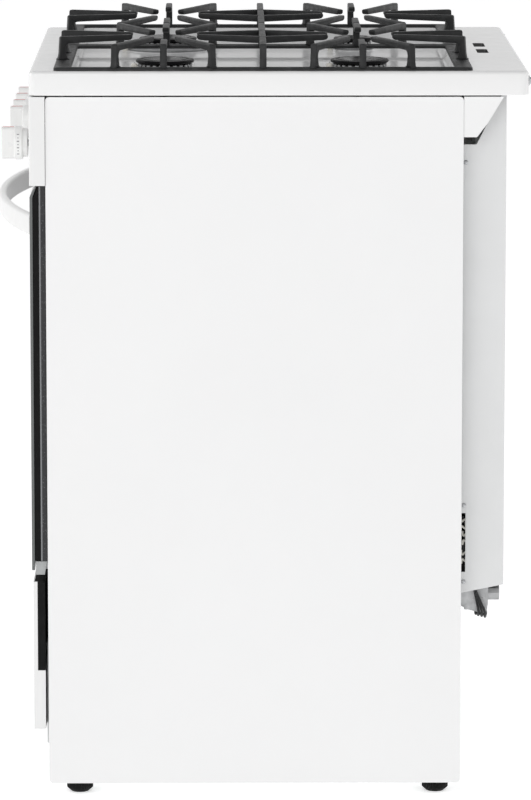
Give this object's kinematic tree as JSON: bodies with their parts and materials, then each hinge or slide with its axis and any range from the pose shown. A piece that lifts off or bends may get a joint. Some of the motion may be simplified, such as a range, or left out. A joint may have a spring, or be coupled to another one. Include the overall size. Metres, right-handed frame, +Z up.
{
  "type": "freestanding gas range",
  "caption": "Freestanding gas range with sealed burners under cast grates, a drop-down oven door with a bowed handle, turning push-in knobs and a storage drawer.",
  "frame": {"origin": "on the floor, midway in plan between the outermost point of the door handle and the cooktop's rear edge, on the centre plane", "axes": "+Z up, front towards -Y, +X to the right of someone facing the front"},
  "size_m": [0.606, 0.6654, 0.947],
  "materials": {
    "white_enamel": "glossy porcelain enamel on sheet steel",
    "galvanised_steel": "satin zinc-coated sheet",
    "cast_aluminium": "fine-sanded casting",
    "cast_iron": "matt black enamelled casting",
    "black_enamel": "gloss black enamel",
    "black_steel": "semi-matt black paint",
    "black_plastic": "matt moulded plastic",
    "wire_insulation": "semi-matt insulation",
    "mineral_wool": "loose fibre",
    "woven_seal": "woven glass fibre",
    "black_glass": "polished, dark printed",
    "clear_glass": "polished",
    "white_plastic": "smooth moulded, light gloss",
    "brass": "turned",
    "foot_rubber": "matt moulded",
    "chrome_wire": "bright plated wire"
  },
  "bodies": {
    "range_body": {"side_panel_left": "white_enamel", "side_panel_right": "white_enamel", "base_pan": "galvanised_steel", "back_panel": "galvanised_steel", "rear_cover": "galvanised_steel", "rear_brace": "white_enamel", "front_frame": "black_steel", "oven_liner": "black_enamel", "oven_floor": "black_enamel", "burner_box": "galvanised_steel", "oven_insulation": "mineral_wool", "flue_duct": "galvanised_steel", "oven_burner": "galvanised_steel", "cooktop": "white_enamel", "control_panel": "white_enamel", "gas_manifold": "cast_aluminium", "gas_regulator": "cast_aluminium", "gas_line": "galvanised_steel", "wiring_harness": "wire_insulation", "burner_bracket_left": "cast_aluminium", "burner_bracket_right": "cast_aluminium", "hinge_arm_left": "galvanised_steel", "hinge_arm_right": "galvanised_steel", "door_gasket": "woven_seal", "burner_head_right_front": "cast_aluminium", "burner_head_right_rear": "cast_aluminium", "burner_head_left_front": "cast_aluminium", "burner_head_left_rear": "cast_aluminium"},
    "oven_door": {"door_glass": "black_glass", "door_frame": "black_steel", "door_liner": "black_enamel", "door_window": "clear_glass", "door_channel": "galvanised_steel", "door_handle": "white_plastic"},
    "storage_drawer": {"drawer_front": "white_enamel", "drawer_backing": "black_plastic", "drawer_box": "galvanised_steel"},
    "grate_left": {"grate_left": "cast_iron"},
    "grate_right": {"grate_right": "cast_iron"},
    "oven_rack_lower": {"oven_rack_lower": "chrome_wire"},
    "oven_rack_upper": {"oven_rack_upper": "chrome_wire"},
    "burner_cap_right_front": {"burner_cap_right_front": "black_enamel"},
    "burner_cap_right_rear": {"burner_cap_right_rear": "black_enamel"},
    "burner_cap_left_front": {"burner_cap_left_front": "black_enamel"},
    "burner_cap_left_rear": {"burner_cap_left_rear": "black_enamel"},
    "valve_stem_left_front": {"valve_stem_left_front": "brass"},
    "knob_left_front": {"knob_left_front": "white_plastic"},
    "valve_stem_left_rear": {"valve_stem_left_rear": "brass"},
    "knob_left_rear": {"knob_left_rear": "white_plastic"},
    "valve_stem_right_rear": {"valve_stem_right_rear": "brass"},
    "knob_right_rear": {"knob_right_rear": "white_plastic"},
    "valve_stem_right_front": {"valve_stem_right_front": "brass"},
    "knob_right_front": {"knob_right_front": "white_plastic"},
    "valve_stem_oven": {"valve_stem_oven": "brass"},
    "knob_oven": {"knob_oven": "white_plastic"},
    "foot_front_left": {"foot_front_left": "foot_rubber"},
    "foot_rear_left": {"foot_rear_left": "foot_rubber"},
    "foot_front_right": {"foot_front_right": "foot_rubber"},
    "foot_rear_right": {"foot_rear_right": "foot_rubber"}
  },
  "joints": [
    {"name": "oven_door_hinge", "type": "hinge", "parent": "range_body", "child": "oven_door", "pos_m": [0, -0.27025, 0.291], "axis": [1, 0, 0], "range_deg": [0, 88]},
    {"name": "storage_drawer_slide", "type": "slide", "parent": "range_body", "child": "storage_drawer", "axis": [0, -1, 0], "range_m": [0, 0.35]},
    {"name": "oven_rack_lower_slide", "type": "slide", "parent": "range_body", "child": "oven_rack_lower", "axis": [0, -1, 0], "range_m": [0, 0.25]},
    {"name": "oven_rack_upper_slide", "type": "slide", "parent": "range_body", "child": "oven_rack_upper", "axis": [0, -1, 0], "range_m": [0, 0.25]},
    {"name": "grate_left_lift", "type": "slide", "parent": "range_body", "child": "grate_left", "axis": [0, 0, 1], "range_m": [0, 0.12]},
    {"name": "grate_right_lift", "type": "slide", "parent": "range_body", "child": "grate_right", "axis": [0, 0, 1], "range_m": [0, 0.12]},
    {"name": "burner_cap_right_front_lift", "type": "slide", "parent": "range_body", "child": "burner_cap_right_front", "axis": [0, 0, 1], "range_m": [0, 0.05]},
    {"name": "burner_cap_right_rear_lift", "type": "slide", "parent": "range_body", "child": "burner_cap_right_rear", "axis": [0, 0, 1], "range_m": [0, 0.05]},
    {"name": "burner_cap_left_front_lift", "type": "slide", "parent": "range_body", "child": "burner_cap_left_front", "axis": [0, 0, 1], "range_m": [0, 0.05]},
    {"name": "burner_cap_left_rear_lift", "type": "slide", "parent": "range_body", "child": "burner_cap_left_rear", "axis": [0, 0, 1], "range_m": [0, 0.05]},
    {"name": "valve_left_front_turn", "type": "hinge", "parent": "range_body", "child": "valve_stem_left_front", "pos_m": [-0.24, -0.28225, 0.819], "axis": [0, -1, 0], "range_deg": [0, 230]},
    {"name": "knob_left_front_push", "type": "slide", "parent": "valve_stem_left_front", "child": "knob_left_front", "axis": [0, 1, 0], "range_m": [0, 0.003], "stiffness_N_per_m": 1500, "springref_m": -0.002},
    {"name": "valve_left_rear_turn", "type": "hinge", "parent": "range_body", "child": "valve_stem_left_rear", "pos_m": [-0.16, -0.28225, 0.819], "axis": [0, -1, 0], "range_deg": [0, 230]},
    {"name": "knob_left_rear_push", "type": "slide", "parent": "valve_stem_left_rear", "child": "knob_left_rear", "axis": [0, 1, 0], "range_m": [0, 0.003], "stiffness_N_per_m": 1500, "springref_m": -0.002},
    {"name": "valve_right_rear_turn", "type": "hinge", "parent": "range_body", "child": "valve_stem_right_rear", "pos_m": [-0.08, -0.28225, 0.819], "axis": [0, -1, 0], "range_deg": [0, 230]},
    {"name": "knob_right_rear_push", "type": "slide", "parent": "valve_stem_right_rear", "child": "knob_right_rear", "axis": [0, 1, 0], "range_m": [0, 0.003], "stiffness_N_per_m": 1500, "springref_m": -0.002},
    {"name": "valve_right_front_turn", "type": "hinge", "parent": "range_body", "child": "valve_stem_right_front", "pos_m": [0, -0.28225, 0.819], "axis": [0, -1, 0], "range_deg": [0, 230]},
    {"name": "knob_right_front_push", "type": "slide", "parent": "valve_stem_right_front", "child": "knob_right_front", "axis": [0, 1, 0], "range_m": [0, 0.003], "stiffness_N_per_m": 1500, "springref_m": -0.002},
    {"name": "valve_oven_turn", "type": "hinge", "parent": "range_body", "child": "valve_stem_oven", "pos_m": [0.24, -0.28225, 0.819], "axis": [0, -1, 0], "range_deg": [0, 285]},
    {"name": "knob_oven_push", "type": "slide", "parent": "valve_stem_oven", "child": "knob_oven", "axis": [0, 1, 0], "range_m": [0, 0.003], "stiffness_N_per_m": 1500, "springref_m": -0.002},
    {"name": "foot_front_left_screw", "type": "slide", "parent": "range_body", "child": "foot_front_left", "axis": [0, 0, -1], "range_m": [0, 0.02]},
    {"name": "foot_rear_left_screw", "type": "slide", "parent": "range_body", "child": "foot_rear_left", "axis": [0, 0, -1], "range_m": [0, 0.02]},
    {"name": "foot_front_right_screw", "type": "slide", "parent": "range_body", "child": "foot_front_right", "axis": [0, 0, -1], "range_m": [0, 0.02]},
    {"name": "foot_rear_right_screw", "type": "slide", "parent": "range_body", "child": "foot_rear_right", "axis": [0, 0, -1], "range_m": [0, 0.02]}
  ],
  "couplings": [
    {"joint": "oven_rack_lower_slide", "follows": "oven_door_hinge", "m_per_rad": 0.16},
    {"joint": "oven_rack_upper_slide", "follows": "oven_door_hinge", "m_per_rad": 0.16}
  ]
}
